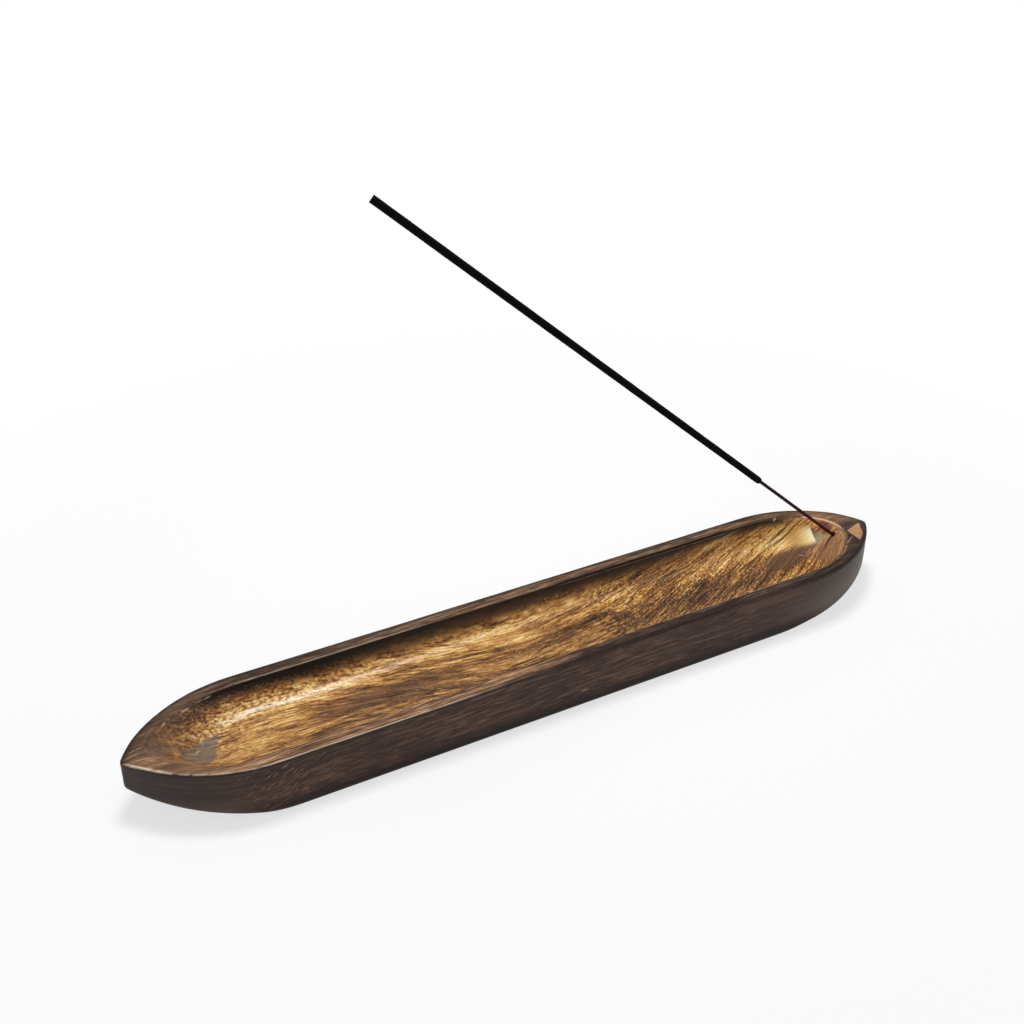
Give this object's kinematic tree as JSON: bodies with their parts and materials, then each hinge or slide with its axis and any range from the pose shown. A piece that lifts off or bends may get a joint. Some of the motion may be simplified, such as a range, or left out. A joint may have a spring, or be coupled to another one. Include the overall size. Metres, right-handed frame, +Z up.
{
  "type": "incense stick holder",
  "caption": "Long boat-shaped wooden tray with pointed ends and an ash trough, holding a coated incense stick that leans back over the trough from a slanted hole.",
  "frame": {"origin": "centre of the flat base, on the surface that the tray stands on", "axes": "+X along the tray towards the end that holds the stick, +Y across the tray, +Z up"},
  "size_m": [0.3, 0.049, 0.1872],
  "materials": {
    "burnt_wood": "satin, dark burnt outside, golden lacquered trough",
    "dyed_bamboo": "matte, red dyed",
    "incense_paste": "matte, powdery black"
  },
  "bodies": {
    "tray": {"tray": "burnt_wood"},
    "stick": {"bamboo_core": "dyed_bamboo", "incense_paste": "incense_paste"}
  },
  "joints": [
    {"name": "stick_pull", "type": "slide", "parent": "tray", "child": "stick", "axis": [-0.7478, 0, 0.6639], "range_m": [0, 0.03]}
  ]
}
